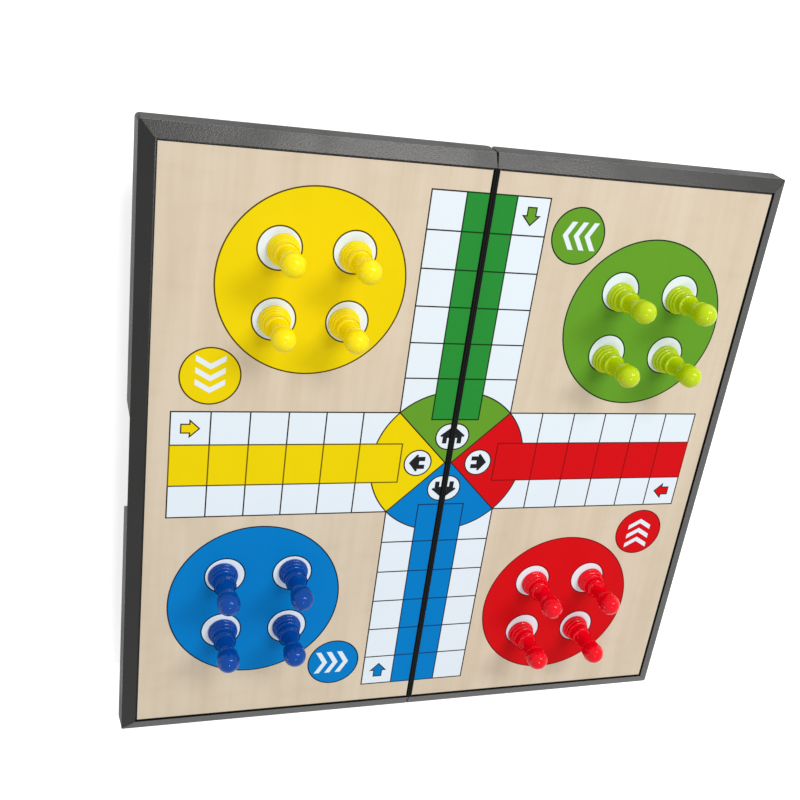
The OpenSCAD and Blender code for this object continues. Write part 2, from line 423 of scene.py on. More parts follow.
@dataclass(frozen=True)
class BirchPrint(Finish):
    """Printed birch ground under a satin film.

    Attributes:
        dark: Colour of the streaks.
        sheen: Strength of the film's reflections.
    """

    dark: str = "cab99f"
    sheen: float = 0.16

    def _surface(self, coat: Coat) -> Surface:
        """Print the birch.

        Args:
            coat: Graph of the material.

        Returns:
            The surface of the print.
        """
        birch = coat.lay(Effect.BIRCH, {"Light": linear(self.colour), "Dark": linear(self.dark)})
        smudge = coat.lay(Effect.HANDLING, {"Scale": 24.0})["Smudge"]
        relief = (birch["Height"], 0.000002)
        return Surface(birch["Color"], (smudge, 0.08), relief, {"Specular IOR Level": self.sheen})


@dataclass(frozen=True)
class Ink(Finish):
    """Ink printed on a sheet.

    Attributes:
        uneven: How much the film of ink varies.
        sheen: Strength of the film's reflections.
    """

    uneven: float = 0.12
    sheen: float = 0.06

    def _surface(self, coat: Coat) -> Surface:
        """Print the ink.

        Args:
            coat: Graph of the material.

        Returns:
            The surface of the film.
        """
        film = coat.lay(Effect.INK, {"Ink": linear(self.colour), "Uneven": self.uneven})
        smudge = coat.lay(Effect.HANDLING, {"Scale": 24.0})["Smudge"]
        relief = (film["Height"], 0.0000012)
        return Surface(film["Color"], (smudge, 0.08), relief, {"Specular IOR Level": self.sheen})


@dataclass(frozen=True)
class Metal(Finish):
    """Bare or plated metal.

    Attributes:
        relief: Depth of its drawn lines in metres.
        dull: Colour where it has dulled.
    """

    relief: float = 0.000004
    dull: str = "8c8d8f"

    def _surface(self, coat: Coat) -> Surface:
        """Draw the lines of the metal and dull it here and there.

        Args:
            coat: Graph of the material.

        Returns:
            The surface of the metal.
        """
        lines = coat.lay(Effect.BRUSHED, {"Scale": 1.0})
        colour = coat.blend(lines["Mask"], linear(self.colour), linear(self.dull))
        return Surface(colour, (lines["Mask"], 0.12), (lines["Height"], self.relief), {"Metallic": 1.0})


@dataclass(frozen=True)
class PawnPlastic(Finish):
    """Glossy, slightly translucent plastic of a pawn.

    Attributes:
        depth: Share of light that passes under the surface.
        radius: How far it travels, in metres.
        sheen: Strength of the reflections.
    """

    depth: float
    radius: float
    sheen: float

    def _surface(self, coat: Coat) -> Surface:
        """Let some light pass under the plastic, and smudge it faintly.

        Args:
            coat: Graph of the material.

        Returns:
            The surface of the plastic.
        """
        film = coat.lay(Effect.INK, {"Ink": linear(self.colour), "Uneven": 0.1})
        smudge = coat.lay(Effect.HANDLING, {"Scale": 160.0})["Smudge"]
        inputs = {
            "Subsurface Weight": self.depth,
            "Subsurface Radius": (1.0, 0.8, 0.4),
            "Subsurface Scale": self.radius,
            "Specular IOR Level": self.sheen,
        }
        return Surface(film["Color"], (smudge, 0.05), (smudge, 0.000002), inputs)


class Palette:
    """Every material of the object, built once."""

    INKS = {
        "ink_outline": "2e241c",
        # The mark ink also paints the band of shade along the sheets' outer edges.
        "ink_mark": "1c1e22",
        "ink_yellow": "edd300",
        "ink_lime": "639c2a",
        "ink_lane_lime": "278c35",
        "ink_red": "d40c14",
        "ink_blue": "007cc8",
        "line_yellow": "6b5a12",
        "line_lime": "123a16",
        "line_red": "93090f",
        "line_blue": "123a66",
        "ring_yellow": "4f3d0a",
        "ring_lime": "14301a",
        "ring_red": "7c0a10",
        "ring_blue": "0c2744",
    }
    FINISHES: tuple[Finish, ...] = (
        Moulding("tray_plastic", "151413", 0.31),
        Moulding("wall_plastic", "121415", 0.42, 3000.0, 0.000012, "1b1c1d", 0.12),
        # The seam's band is painted near black as shade between the two halves.
        Moulding("seam_plastic", "0b0c0d", 0.5, 3000.0, 0.000008, "121314", 0.1),
        Moulding("link_plastic", "1a1b1c", 0.34, 3400.0, 0.000006, "28292a", 0.5),
        BirchPrint("birch_ground", "dccdb8", 0.5),
        Ink("ink_white", "e3edf6", 0.5, 0.05),
        *(Ink(name, colour, 0.5) for name, colour in INKS.items()),
        Metal("plate_steel", "b9babb", 0.36),
        Metal("pin_steel", "c4c5c6", 0.26),
        Metal("magnet_nickel", "cfd0d0", 0.2, 0.000002),
        PawnPlastic("pawn_yellow", "ffe600", 0.2, 0.3, 0.0025, 0.22),
        PawnPlastic("pawn_lime", "bfd800", 0.14, 0.3, 0.0025, 0.25),
        PawnPlastic("pawn_blue", "0046a0", 0.09, 0.04, 0.002, 0.16),
        PawnPlastic("pawn_red", "f0001c", 0.09, 0.08, 0.002, 0.18),
    )

    def __init__(self) -> None:
        """Build the shared effects and then the materials."""
        effects = Effects()
        self._made = {finish.name: finish.build(effects) for finish in self.FINISHES}

    def __getitem__(self, name: str) -> Material:
        """Material of a name."""
        return self._made[name]


# ---- Meshes ----


def new_object(name: str, data: ID) -> Object:
    """Put a mesh, a lamp or a camera into the scene as an object at the origin.

    Args:
        name: Name of the object.
        data: What it shows.

    Returns:
        The object.
    """
    made = bpy.data.objects.new(name, data)
    bpy.context.scene.collection.objects.link(made)
    return made


def smooth(mesh: Mesh, angle: float = 32.0, flat_area: float = 20.0) -> None:
    """Shade a mesh smooth, but keep its large faces flat.

    Args:
        mesh: Mesh to shade.
        angle: Largest angle between faces that is smoothed, in degrees.
        flat_area: Area from which a face stays flat, in square millimetres.
    """
    mesh.set_sharp_from_angle(angle=math.radians(angle))
    limit = flat_area * MM * MM
    mesh.polygons.foreach_set("use_smooth", [face.area < limit for face in mesh.polygons])


def applied(made: Object) -> Object:
    """Turn an object's modifiers into plain mesh.

    Args:
        made: Object with live modifiers.

    Returns:
        The same object with a plain mesh and no modifiers.
    """
    bpy.context.view_layer.update()
    graph = bpy.context.evaluated_depsgraph_get()
    mesh = bpy.data.meshes.new_from_object(made.evaluated_get(graph), depsgraph=graph)
    made.modifiers.clear()
    made.data = mesh
    return made


@dataclass
class SolidCopy:
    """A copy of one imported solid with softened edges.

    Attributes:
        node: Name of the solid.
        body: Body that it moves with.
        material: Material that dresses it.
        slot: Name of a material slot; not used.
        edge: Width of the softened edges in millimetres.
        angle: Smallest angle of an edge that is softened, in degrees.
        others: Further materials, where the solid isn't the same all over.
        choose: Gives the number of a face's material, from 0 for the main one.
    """

    node: str
    body: str
    material: Material
    slot: str
    edge: float = 0.15
    angle: float = 34.0
    others: Sequence[Material] = ()
    choose: Callable[[BMFace], int] | None = None

    def build(self) -> Object:
        """Merge, clean and soften the copy.

        Returns:
            The finished piece, which replaces its solid.
        """
        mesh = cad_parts[self.node].data.copy()
        mesh.materials.clear()
        mesh.materials.append(self.material)
        work = bmesh.new()
        work.from_mesh(mesh)
        bmesh.ops.remove_doubles(work, verts=work.verts, dist=WELD)
        bmesh.ops.dissolve_limit(work, angle_limit=math.radians(FLAT), verts=work.verts, edges=work.edges)
        for face in work.faces:
            face.material_index = self.choose(face) if self.choose else 0
        work.to_mesh(mesh)
        work.free()
        for material in self.others:
            mesh.materials.append(material)
        piece = new_object(f"{self.node}_piece", mesh)
        bevel = piece.modifiers.new("softened_edges", "BEVEL")
        bevel.limit_method = "ANGLE"
        bevel.angle_limit = math.radians(self.angle)
        bevel.width = self.edge * MM
        bevel.segments = 2
        bevel.use_clamp_overlap = True
        bevel.miter_outer = "MITER_ARC"
        applied(piece)
        smooth(piece.data)
        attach(piece, self.body)
        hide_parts(self.node)
        return piece


# ---- Printed sheets ----


class Layer(Enum):
    """Layers of ink from the ground up."""

    UNDER = 1
    CELL = 2
    LANE_UNDER = 3
    LANE = 4
    CIRCLE = 5
    SECTOR = 6
    HOME_LANE_UNDER = 7
    HOME_LANE = 8
    DISC_UNDER = 9
    DISC = 10
    MARK = 11


@dataclass(frozen=True)
class TeamInks:
    """Inks of one colour of the game.

    Attributes:
        fill: Ink of the circle, the disc and the home sector.
        lane: Ink of the lane that leads home.
        line: Ink of the lines over the lane.
        ring: Ink of the lines round the circle and its spots.
        spots: Shift of the four spots from the circle's middle, in millimetres along X and Y.
    """

    fill: str
    lane: str
    line: str
    ring: str
    spots: Point = (0.0, 0.0)


TEAM_INKS = {
    Team.YELLOW: TeamInks("ink_yellow", "ink_yellow", "line_yellow", "ring_yellow", (0.7, -0.9)),
    Team.LIME: TeamInks("ink_lime", "ink_lane_lime", "line_lime", "ring_lime", (0.6, 0.0)),
    Team.RED: TeamInks("ink_red", "ink_red", "line_red", "ring_red"),
    Team.BLUE: TeamInks("ink_blue", "ink_blue", "line_blue", "ring_blue", (0.7, -0.5)),
}


# Corners of the small figures in millimetres, each from its own place: the house on a home disc with its roof away
# from the middle of the board, one chevron of a start disc, and the arrow to the track with its fill.
HOUSE: list[Point] = [
    (-3.7, 0.0), (-0.5, 3.9), (0.2, 3.3), (-0.1, 2.7), (3.0, 2.7), (3.0, 0.8), (0.6, 0.8),
    (0.6, -0.8), (3.0, -0.8), (3.0, -2.7), (-0.1, -2.7), (0.2, -3.3), (-0.5, -3.9),
]
CHEVRON: list[Point] = [(-5.4, 2.6), (0.0, -0.6), (5.4, 2.6), (5.4, 4.8), (0.0, 1.6), (-5.4, 4.8)]
ARROW: list[Point] = [(-3.6, -2.0), (-0.4, -2.0), (-0.4, -3.9), (3.7, 0.0), (-0.4, 3.9), (-0.4, 2.0), (-3.6, 2.0)]
ARROW_FILL: list[Point] = [(-3.1, -1.5), (0.1, -1.5), (0.1, -2.7), (3.0, 0.0), (0.1, 2.7), (0.1, 1.5), (-3.1, 1.5)]


@dataclass(frozen=True)
class TrackSizes:
    """Sizes of the printed track in millimetres, from the middle of the board.

    The sizes are those of the left arm and the circle above it. The other three follow by quarter turns.
    """

    arm_start: float = 22.0
    arm_end: float = 108.8
    arm_half: float = 22.0
    lane_half: float = 8.5
    cells: int = 6
    line: float = 0.55
    home_r: float = 31.3
    lane_home_end: float = 19.1
    home_disc_at: float = 11.6
    home_disc_r: float = 5.9
    circle_at: Point = (-61.6, 72.2)
    circle_r: float = 34.8
    spot_pitch: Point = (27.0, 26.0)
    spot_r: float = 8.2
    start_at: Point = (-95.5, 36.0)
    start_r: float = 11.2
    chevron_pitch: float = 4.6
    chevron_drop: float = 1.4
    arrow_at: Point = (-101.6, 15.2)
    disc_steps: int = 128
    arc_steps: int = 40

    @property
    def pitch(self) -> float:
        """Length of one cell along an arm."""
        return (self.arm_end - self.arm_start) / self.cells


class RepeatTree:
    """Geometry tree that lays one flat shape on several points, in one ink."""

    SIZES: dict[str, str] = {}

    def __init__(self, name: str) -> None:
        """Build the tree.

        Args:
            name: Name of the tree.
        """
        self.tree = bpy.data.node_groups.new(name, "GeometryNodeTree")
        add_sockets(self.tree, "OUTPUT", {"Geometry": "Geometry"})
        self.sockets = add_sockets(self.tree, "INPUT", {**self.SIZES, "Ink": "Material"})
        graph = Graph(self.tree)
        given = graph.add("NodeGroupInput").outputs
        points, shape = self._parts(graph, given)
        inputs = {"Points": points.outputs[0], "Instance": shape.outputs[0]}
        placed = graph.add("GeometryNodeInstanceOnPoints", inputs)
        real = graph.add("GeometryNodeRealizeInstances", {"Geometry": placed.outputs[0]})
        inked = graph.add("GeometryNodeSetMaterial", {"Geometry": real.outputs[0], "Material": given["Ink"]})
        graph.add("NodeGroupOutput", {"Geometry": inked.outputs[0]})

    def _parts(self, graph: Graph, given: dict[str, NodeSocket]) -> tuple[Node, Node]:
        """Make the points and the shape that is laid on them; each kind of tree has its own."""
        raise NotImplementedError

    def lay(self, ink: Material, sizes: dict[str, object]) -> Mesh:
        """Run the tree once.

        Args:
            ink: Material of the shapes.
            sizes: Number or vector for each named input, lengths in metres.

        Returns:
            The shapes as one plain mesh.
        """
        holder = new_object("tree_holder", bpy.data.meshes.new("tree_holder"))
        modifier = holder.modifiers.new("layout", "NODES")
        modifier.node_group = self.tree
        for name, value in {"Ink": ink, **sizes}.items():
            modifier[self.sockets[name]] = value
        mesh = applied(holder).data
        bpy.data.objects.remove(holder)
        return mesh


class RowTree(RepeatTree):
    """Geometry tree that lays equal rectangles in a row along X."""

    SIZES = {"Count": "Int"} | dict.fromkeys(("Pitch", "Start", "Offset", "Length", "Width", "Height"), "Float")

    def _parts(self, graph: Graph, given: dict[str, NodeSocket]) -> tuple[Node, Node]:
        """Make the row's points and its rectangle.

        Args:
            graph: Graph of the tree.
            given: The tree's inputs.

        Returns:
            The node of the points and the node of the rectangle.
        """
        first = graph.math("MULTIPLY_ADD", given["Pitch"], 0.5, given["Start"])
        at = graph.add("ShaderNodeCombineXYZ", {"X": first, "Y": given["Offset"], "Z": given["Height"]})
        step = graph.add("ShaderNodeCombineXYZ", {"X": given["Pitch"]})
        line = {"Count": given["Count"], "Start Location": at.outputs[0], "Offset": step.outputs[0]}
        size = {"Size X": given["Length"], "Size Y": given["Width"], "Vertices X": 2, "Vertices Y": 2}
        return graph.add("GeometryNodeMeshLine", line, mode="OFFSET"), graph.add("GeometryNodeMeshGrid", size)


class SpotTree(RepeatTree):
    """Geometry tree that lays four equal discs on the corners of a rectangle."""

    SIZES = {"Pitch X": "Float", "Pitch Y": "Float", "Radius": "Float", "Centre": "Vector"}

    def _parts(self, graph: Graph, given: dict[str, NodeSocket]) -> tuple[Node, Node]:
        """Make the four corners and the disc.

        Args:
            graph: Graph of the tree.
            given: The tree's inputs.

        Returns:
            The node of the corners and the node of the disc.
        """
        size = {"Size X": given["Pitch X"], "Size Y": given["Pitch Y"], "Vertices X": 2, "Vertices Y": 2}
        square = graph.add("GeometryNodeMeshGrid", size).outputs[0]
        moved = graph.add("GeometryNodeSetPosition", {"Geometry": square, "Offset": given["Centre"]})
        disc = {"Vertices": 72, "Radius": given["Radius"]}
        return moved, graph.add("GeometryNodeMeshCircle", disc, fill_type="NGON")


class Artwork:
    """The whole printed track as flat shapes, in millimetres from the middle of the board."""

    def __init__(self, palette: Palette, base_z: float, sizes: TrackSizes) -> None:
        """Draw the track.

        Args:
            palette: Materials of the object.
            base_z: Height of the ground in millimetres.
            sizes: Sizes of the track.
        """
        self.palette = palette
        self.base_z = base_z
        self.sizes = sizes
        self.inks: list[Material] = []
        self.mesh = bmesh.new()
        self.row_tree = RowTree("track_row")
        self.spot_tree = SpotTree("spot_square")
        for team in Team:
            self._arm(team)
            self._home(team)
            self._start(team)

    def _ink(self, name: str) -> int:
        """Number of an ink in the mesh.

        Args:
            name: Name of the ink.

        Returns:
            Its number, a new one where the ink is new.
        """
        material = self.palette[name]
        if material not in self.inks:
            self.inks.append(material)
        return self.inks.index(material)

    def _z(self, layer: Layer) -> float:
        """Height of a layer in millimetres."""
        return self.base_z + layer.value * INK_STEP

    def height(self, layer: Layer) -> float:
        """Height of a layer in metres."""
        return self._z(layer) * MM

    @staticmethod
    def _turn(team: Team) -> Matrix:
        """Quarter turns from the yellow quarter to a colour's own."""
        return Matrix.Rotation(-math.pi / 2 * team.value, 4, "Z")

    @staticmethod
    def _print(face: BMFace, number: int) -> None:
        """Give a flat face its ink and turn it up.

        Args:
            face: Face to print.
            number: Number of the ink.
        """
        face.material_index = number
        face.normal_update()
        if face.normal.z < 0:
            face.normal_flip()

    def polygon(self, team: Team, points: Iterable[Point], layer: Layer, ink: str) -> None:
        """Draw a filled shape.

        Args:
            team: Colour of the quarter that it belongs to.
            points: Corners in the yellow quarter's place.
            layer: Layer of ink.
            ink: Name of the ink.
        """
        turn = self._turn(team)
        corners = [self.mesh.verts.new(turn @ Vector((x, y, self._z(layer))) * MM) for x, y in points]
        self._print(self.mesh.faces.new(corners), self._ink(ink))

    def disc(self, team: Team, centre: Point, radius: float, layer: Layer, ink: str) -> None:
        """Draw a filled disc.

        Args:
            team: Colour of the quarter that it belongs to.
            centre: Middle in the yellow quarter's place.
            radius: Radius in millimetres.
            layer: Layer of ink.
            ink: Name of the ink.
        """
        steps = self.sizes.disc_steps
        turns = [2 * math.pi * i / steps for i in range(steps)]
        ring = [(centre[0] + radius * math.cos(a), centre[1] + radius * math.sin(a)) for a in turns]
        self.polygon(team, ring, layer, ink)

    def outlined(
        self, team: Team, centre: Point, radius: float, layers: tuple[Layer, Layer], inks: tuple[str, str]
    ) -> None:
        """Draw a disc with a thin line round it: the line's layer and ink come first, then the fill's."""
        for layer, ink, inset in zip(layers, inks, (0.0, self.sizes.line)):
            self.disc(team, centre, radius - inset, layer, ink)

    def bar(self, team: Team, span: Point, half: float, layer: Layer, ink: str) -> None:
        """Draw a filled rectangle along the middle of an arm, by its two ends and half of its width."""
        start, end = span
        self.polygon(team, [(start, -half), (end, -half), (end, half), (start, half)], layer, ink)

    def _take(self, team: Team, mesh: Mesh, ink: str) -> None:
        """Add a mesh from a geometry tree, turned to a colour's quarter.

        Args:
            team: Colour of the quarter.
            mesh: Mesh in the yellow quarter's place, which is used up.
            ink: Name of the ink.
        """
        mesh.transform(self._turn(team))
        number = self._ink(ink)
        first = len(self.mesh.faces)
        self.mesh.from_mesh(mesh)
        self.mesh.faces.ensure_lookup_table()
        for face in self.mesh.faces[first:]:
            self._print(face, number)
        bpy.data.meshes.remove(mesh)

    def _row(self, team: Team, offset: float, width: float, layer: Layer, ink: str) -> None:
        """Lay one row of cells on an arm.

        Args:
            team: Colour of the arm.
            offset: Distance of the row's middle from the arm's.
            width: Width of the row.
            layer: Layer of ink.
            ink: Name of the ink.
        """
        s = self.sizes
        lengths = {
            "Pitch": s.pitch,
            "Start": -s.arm_end,
            "Offset": offset,
            "Length": s.pitch - s.line,
            "Width": width - s.line,
            "Height": self._z(layer),
        }
        values = {"Count": s.cells} | {name: length * MM for name, length in lengths.items()}
        self._take(team, self.row_tree.lay(self.palette[ink], values), ink)

    def _arm(self, team: Team) -> None:
        """Draw an arm of the track: two outer rows of white cells and the lane between them.

        Args:
            team: Colour of the arm.
        """
        s = self.sizes
        inks = TEAM_INKS[team]
        edge = s.line / 2
        ends = (-s.arm_end - edge, -s.arm_start + edge)
        self.bar(team, ends, s.arm_half + edge, Layer.UNDER, "ink_outline")
        width = s.arm_half - s.lane_half
        for side in (-1, 1):
            self._row(team, side * (s.lane_half + width / 2), width, Layer.CELL, "ink_white")
        self.bar(team, (ends[0], -s.arm_start), s.lane_half, Layer.LANE_UNDER, inks.line)
        self._row(team, 0.0, 2 * s.lane_half, Layer.LANE, inks.lane)

    def _home(self, team: Team) -> None:
        """Draw a quarter of the home circle with the end of its lane and its disc.

        Args:
            team: Colour of the quarter.
        """
        s = self.sizes
        inks = TEAM_INKS[team]
        edge = s.line / 2
        inner = s.home_r - s.line
        sectors = (
            (s.home_r, 0.0, 0.0, Layer.CIRCLE, "ink_outline"),
            (inner, -edge * math.sqrt(2), math.asin(edge / inner), Layer.SECTOR, inks.fill),
        )
        for radius, tip, inset, layer, ink in sectors:
            first, span = math.radians(135) + inset, math.pi / 2 - 2 * inset
            arc = [first + span * i / s.arc_steps for i in range(s.arc_steps + 1)]
            corners = [(tip, 0.0)] + [(radius * math.cos(a), radius * math.sin(a)) for a in arc]
            self.polygon(team, corners, layer, ink)
        start, end = -s.arm_start - s.pitch + edge, -s.lane_home_end
        self.bar(team, (start, end + edge), s.lane_half + edge, Layer.HOME_LANE_UNDER, inks.line)
        self.bar(team, (start, end - edge), s.lane_half - edge, Layer.HOME_LANE, inks.lane)
        centre = (-s.home_disc_at, 0.0)
        layers = (Layer.DISC_UNDER, Layer.DISC)
        self.outlined(team, centre, s.home_disc_r, layers, ("ink_outline", "ink_white"))
        self._figure(team, centre, HOUSE, Layer.MARK, "ink_mark")

    def _figure(self, team: Team, centre: Point, shape: Sequence[Point], layer: Layer, ink: str) -> None:
        """Draw a small figure, its corners counted from its own centre."""
        self.polygon(team, [(centre[0] + x, centre[1] + y) for x, y in shape], layer, ink)

    def _start(self, team: Team) -> None:
        """Draw the circle with its four spots, the start disc with its chevrons and the arrow.

        Args:
            team: Colour of the quarter.
        """
        s = self.sizes
        inks = TEAM_INKS[team]
        layers = (Layer.UNDER, Layer.CELL)
        self.outlined(team, s.circle_at, s.circle_r, layers, (inks.ring, inks.fill))
        self._spots(team)
        self.outlined(team, s.start_at, s.start_r, layers, (inks.ring, inks.fill))
        x, y = s.start_at
        for k in (-1, 0, 1):
            foot = (x, y + k * s.chevron_pitch - s.chevron_drop)
            self._figure(team, foot, CHEVRON, Layer.LANE, "ink_white")
        self._figure(team, s.arrow_at, ARROW, Layer.LANE, "ink_outline")
        self._figure(team, s.arrow_at, ARROW_FILL, Layer.CIRCLE, inks.fill)

    def _spots(self, team: Team) -> None:
        """Lay the four white spots of a circle with the thin lines round them.

        Args:
            team: Colour of the circle.
        """
        s = self.sizes
        inks = TEAM_INKS[team]
        shift = self._turn(team).inverted() @ Vector((*inks.spots, 0.0))
        place = (Vector((*s.circle_at, 0.0)) + shift) * MM
        pitch = s.spot_pitch[:: -1 if team.value % 2 else 1]
        for radius, layer, ink in (
            (s.spot_r, Layer.LANE, inks.ring),
            (s.spot_r - s.line, Layer.CIRCLE, "ink_white"),
        ):
            place.z = self.height(layer)
            values = {"Pitch X": pitch[0] * MM, "Pitch Y": pitch[1] * MM, "Radius": radius * MM}
            mesh = self.spot_tree.lay(self.palette[ink], {**values, "Centre": tuple(place)})
            self._take(team, mesh, ink)

    def half(self, side: str, shift: float) -> BMesh:
        """Cut one side's half off the artwork and move it out to its sheet.

        Args:
            side: Left or right.
            shift: Distance from the seam's middle to the sheet's edge in metres.

        Returns:
            The half's flat shapes.
        """
        sign = -1.0 if side == "left" else 1.0
        cut = self.mesh.copy()
        parts = [*cut.verts, *cut.edges, *cut.faces]
        seam = {"plane_co": (0, 0, 0), "plane_no": (sign, 0, 0), "clear_inner": True}
        bmesh.ops.bisect_plane(cut, geom=parts, dist=1e-9, **seam)
        bmesh.ops.triangulate(cut, faces=[f for f in cut.faces if len(f.verts) > 4])
        for vert in cut.verts:
            vert.co.x += sign * shift
        return cut


@dataclass
class PrintedSheet:
    """One printed sheet with its share of the track.

    Attributes:
        side: Left or right.
        palette: Materials of the object.
    """

    side: str
    palette: Palette

    @staticmethod
    def _edge_line(work: BMesh, artwork: Artwork, low: Vector, high: Vector) -> None:
        """Paint a dark band along the sheet's three outer sides, as painted shade of the gap between the sheet and
        the bezel.

        Args:
            work: Flat shapes of the half.
            artwork: The whole track.
            low: Lowest corner of the sheet in metres.
            high: Highest corner of the sheet in metres.
        """
        # Painted shade: a dark band in the mark ink stands in for the shadow in the gap to the bezel.
        z = artwork.height(Layer.MARK)
        rings = []
        for inset in (0.0, GAP_SHADE_WIDTH * MM):
            x, y, far_x, far_y = low.x + inset, low.y + inset, high.x - inset, high.y - inset
            rings.append([work.verts.new((*at, z)) for at in ((x, y), (far_x, y), (far_x, far_y), (x, far_y))])
        outer, inner = rings
        seam = 1 if high.x < 0 else 3
        for i in (k for k in range(4) if k != seam):
            j = (i + 1) % 4
            face = work.faces.new((outer[i], outer[j], inner[j], inner[i]))
            face.material_index = artwork.inks.index(artwork.palette["ink_mark"])

    def build(self, artwork: Artwork) -> Object:
        """Build the sheet and print its half of the artwork on it.

        Args:
            artwork: The whole track.

        Returns:
            The finished piece, which replaces its solid.
        """
        node = f"{self.side}_printed_sheet"
        low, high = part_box(node)
        print_half = artwork.half(self.side, min(abs(low.x), abs(high.x)))
        self._edge_line(print_half, artwork, low, high)
        mesh = bpy.data.meshes.new(f"{node}_piece")
        for face in print_half.faces:
            face.material_index += 1
        top = high.z - INK_ROOM * MM
        size = Vector((high.x - low.x, high.y - low.y, top - low.z))
        middle = Vector(((low.x + high.x) / 2, (low.y + high.y) / 2, (low.z + top) / 2))
        place = Matrix.Translation(middle) @ Matrix.Diagonal((*size, 1.0))
        bmesh.ops.create_cube(print_half, size=1.0, matrix=place)
        print_half.to_mesh(mesh)
        print_half.free()
        for material in [self.palette["birch_ground"], *artwork.inks]:
            mesh.materials.append(material)
        piece = new_object(f"{node}_piece", mesh)
        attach(piece, f"{self.side}_half")
        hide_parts(node)
        return piece


# ---- Pawns ----


@dataclass(frozen=True)
class PawnShape:
    """Sizes of a pawn in millimetres."""

    radius: float = 5.88
    foot_round: float = 0.25
    foot_ease: float = 0.07
    steps: int = 3
    step_h: float = 1.5
    step_in: float = 0.5
    round: float = 0.22
    slope: float = 35.0
    slope_drop: float = 0.12
    collar_r: float = 4.39
    collar_top: float = 8.0
    collar_hollow: float = 0.3
    collar_steps: int = 10
    neck_r: float = 3.0
    neck_flare: float = 0.5
    neck_top: float = 15.4
    neck_steps: int = 18
    lip_r: float = 4.04
    lip_round: float = 0.24
    lip_h: float = 0.7
    lip_edge: float = 0.14
    lip_ease: float = 0.04
    head_r: float = 4.39
    height: float = 23.78
    magnet_r: float = 4.03
    magnet_room: float = 2.12
    head_steps: int = 31
    turns: int = 96

    @staticmethod
    def _arc(r: float, z: float, radius: float, start: float, end: float, steps: int) -> list[Point]:
        """Points of an arc about a centre at radius r and height z, from start to end in degrees."""
        turns = [math.radians(start + (end - start) * i / steps) for i in range(steps + 1)]
        return [(r + radius * math.cos(a), z + radius * math.sin(a)) for a in turns]

    def _shoulder(self, r: float, top: float, width: float) -> list[Point]:
        """Sloping top of a step with rounded edges.

        Args:
            r: Radius of the step.
            top: Height of the slope's inner edge.
            width: Width of the slope.

        Returns:
            Radius and height of each point.
        """
        slope = math.radians(90 - self.slope)
        low = top - width * math.tan(math.radians(self.slope)) - self.slope_drop
        points = self._arc(r - self.round, low, self.round, 0, math.degrees(slope) - 6, 4)
        end = points[-1]
        middle = ((end[0] + r - width) / 2, (end[1] + top) / 2 + 0.02)
        return [*points, middle, (r - width, top)]

    def _head(self) -> list[Point]:
        """Outline of the head, a ball drawn out below its middle to meet the lip.

        Returns:
            Radius and height of each point, short of the top.
        """
        middle = self.height - self.head_r
        start = -math.acos((self.lip_r - 0.1) / self.head_r)
        stretch = (middle - self.neck_top - self.lip_h) / (-self.head_r * math.sin(start))
        points = []
        for i in range(self.head_steps):
            a = start + (math.pi / 2 - start) * i / self.head_steps
            rise = self.head_r * math.sin(a) * (stretch if a < 0 else 1)
            points.append((self.head_r * math.cos(a), middle + rise))
        return points

    def outline(self) -> list[Point]:
        """Half outline from the middle of the foot's recess to the top of the head.

        Returns:
            Radius and height of each point.
        """
        points = [(0.0, self.magnet_room), (self.magnet_r, self.magnet_room), (self.magnet_r, 0.0)]
        points += [(self.radius - self.foot_round, 0.0), (self.radius - self.foot_ease, self.foot_ease)]
        points.append((self.radius, self.foot_round))
        for i in range(self.steps):
            points += self._shoulder(self.radius - i * self.step_in, (i + 1) * self.step_h, self.step_in)
        foot = self.steps * self.step_h
        rise = self.collar_top - self.round - foot
        for i in range(self.collar_steps + 1):
            t = i / self.collar_steps
            points.append((self.collar_r - self.collar_hollow * 4 * t * (1 - t), foot + rise * t))
        points += self._shoulder(self.collar_r, self.collar_top, self.collar_r - self.neck_r - self.neck_flare)
        for i in range(self.neck_steps + 1):
            t = i / self.neck_steps
            waist = self.neck_r + self.neck_flare * (2 * t - 1) ** 2
            points.append((waist, self.collar_top + (self.neck_top - self.collar_top) * t))
        points += self._arc(self.lip_r - self.lip_round, self.neck_top + self.lip_round, self.lip_round, -90, 0, 5)
        lip_top = self.neck_top + self.lip_h
        points += [(self.lip_r, lip_top - self.lip_edge), (self.lip_r - self.lip_ease, lip_top - self.lip_ease)]
        points += self._head()
        points.append((0.0, self.height))
        return points


